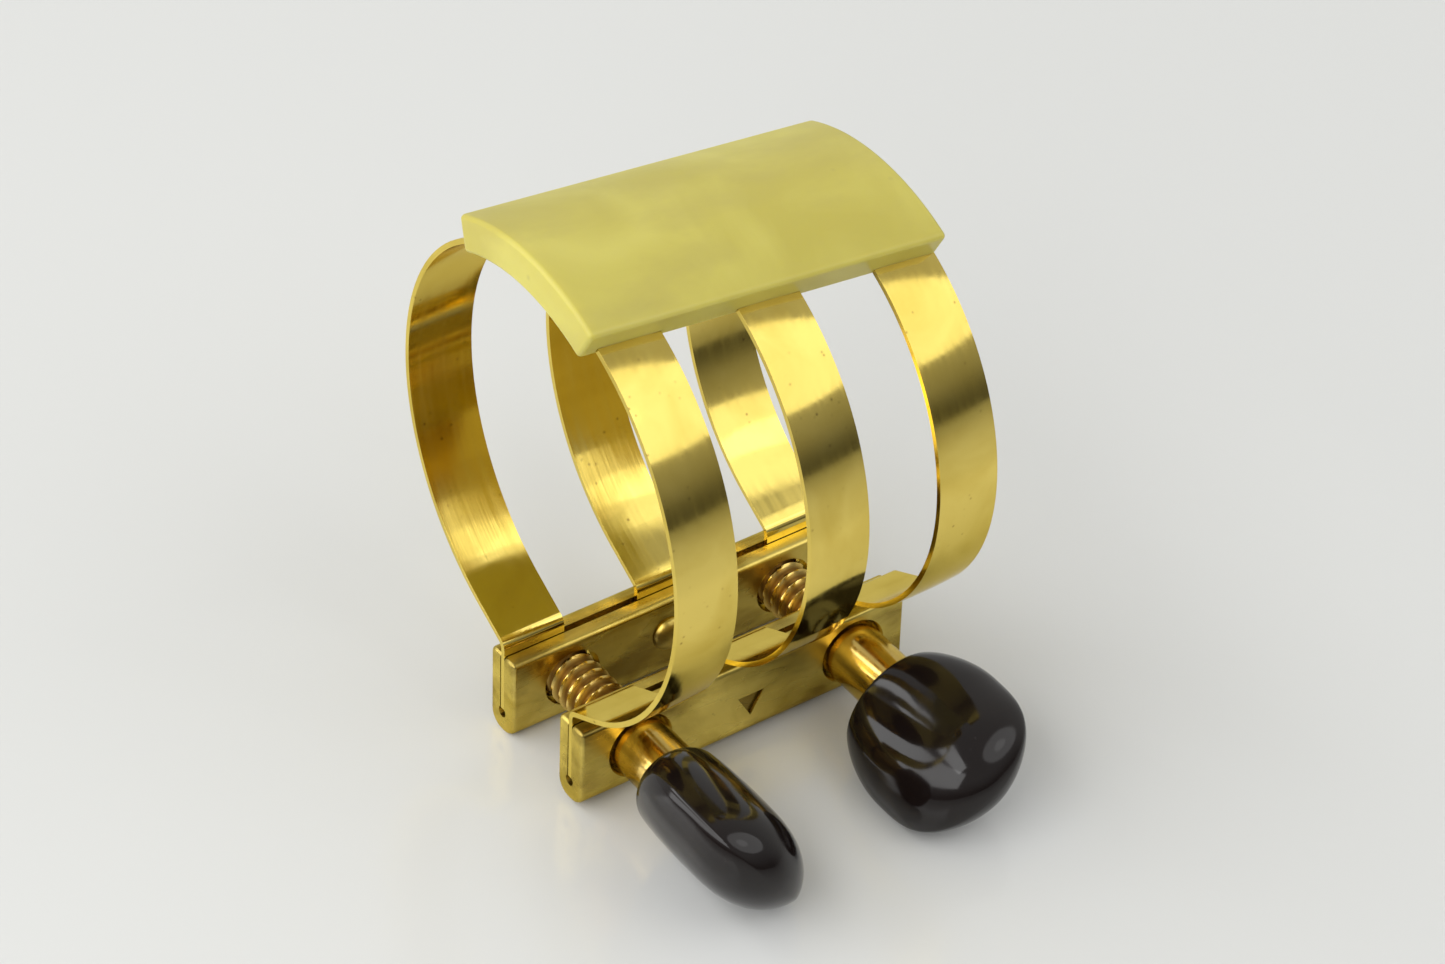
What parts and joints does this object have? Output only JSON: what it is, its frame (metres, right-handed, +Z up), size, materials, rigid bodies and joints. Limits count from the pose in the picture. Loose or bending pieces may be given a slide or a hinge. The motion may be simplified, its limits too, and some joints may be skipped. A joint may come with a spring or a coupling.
{
  "type": "saxophone ligature",
  "caption": "Tapered brass band ligature with an arched resin pressure plate, folded clamp rails and thumb screws with dipped vinyl grips; the screws draw the rails together.",
  "frame": {"origin": "centre of the bottom of the bounding box at rest", "axes": "+X along the rails from the wide end of the ring to its narrow end, +Y from the front rail with the screw heads to the rear rail, +Z up from the rails to the plate"},
  "size_m": [0.0248, 0.0338, 0.0393],
  "materials": {
    "plate_resin": "cloudy yellow-green, satin gloss",
    "band_brass": "rolled, semi-bright, small tarnish specks",
    "rail_brass": "satin with lengthwise rub marks",
    "rivet_brass": "polished",
    "screw_brass": "polished barrel, darker thread",
    "grip_vinyl": "glossy dipped vinyl"
  },
  "bodies": {
    "clamp": {"pressure_plate": "plate_resin", "rear_bands": "band_brass", "front_bands": "band_brass", "rear_rail": "rail_brass", "rear_rivet": "rivet_brass"},
    "front_jaw": {"front_rail": "rail_brass"},
    "left_thumbscrew": {"left_screw": "screw_brass", "left_grip": "grip_vinyl"},
    "right_thumbscrew": {"right_screw": "screw_brass", "right_grip": "grip_vinyl"}
  },
  "joints": [
    {"name": "jaw_slide", "type": "slide", "parent": "clamp", "child": "front_jaw", "axis": [0, 1, 0], "range_m": [-0.0015, 0.003], "deforming": ["front_bands"]},
    {"name": "left_screw_turn", "type": "hinge", "parent": "front_jaw", "child": "left_thumbscrew", "pos_m": [-0.00704, 0, 0.00403], "axis": [0, 1, 0], "range_deg": [-681, 1361]},
    {"name": "right_screw_turn", "type": "hinge", "parent": "front_jaw", "child": "right_thumbscrew", "pos_m": [0.00834, 0, 0.00403], "axis": [0, 1, 0], "range_deg": [-681, 1361]}
  ],
  "couplings": [
    {"joint": "left_screw_turn", "follows": "jaw_slide", "rad_per_m": 7913.3},
    {"joint": "right_screw_turn", "follows": "jaw_slide", "rad_per_m": 7913.3}
  ]
}
